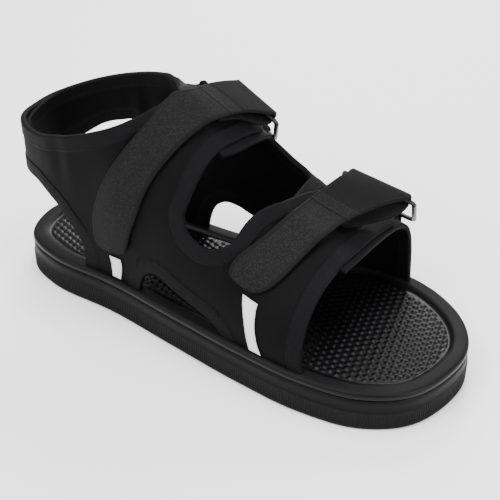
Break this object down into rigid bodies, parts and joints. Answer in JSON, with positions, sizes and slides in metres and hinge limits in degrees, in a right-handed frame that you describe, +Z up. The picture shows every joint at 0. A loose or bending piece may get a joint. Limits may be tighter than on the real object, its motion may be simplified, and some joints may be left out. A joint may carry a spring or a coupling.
{
  "type": "post operative shoe",
  "caption": "Open-toe, open-heel sandal of soft black sheet on a thick flat foam sole, closed by two wide straps that turn through rings over the instep.",
  "frame": {"origin": "Middle of the bounding box in plan, on the floor under the sole.", "axes": "+X runs from the heel to the toe, +Y to the inner side of the foot, +Z up. The outer side is at -Y."},
  "size_m": [0.2899, 0.1194, 0.1454],
  "materials": {
    "outsole_foam": "matt foam, fine upright ribs",
    "footbed_foam": "satin foam, honeycomb bumps",
    "upper_neoprene": "matt knitted face on foam",
    "strap_webbing": "brushed loop face, flat webbing",
    "ring_plastic": "semi gloss",
    "tab_webbing": "matt webbing",
    "stripe_tape": "matt white tape"
  },
  "bodies": {
    "root": {"outsole": "outsole_foam", "footbed": "footbed_foam", "upper": "upper_neoprene", "front_strap": "strap_webbing", "rear_strap": "strap_webbing", "front_ring": "ring_plastic", "rear_ring": "ring_plastic", "front_ring_tab": "tab_webbing", "rear_ring_tab": "tab_webbing", "front_stripe": "stripe_tape", "rear_stripe": "stripe_tape"}
  },
  "joints": []
}
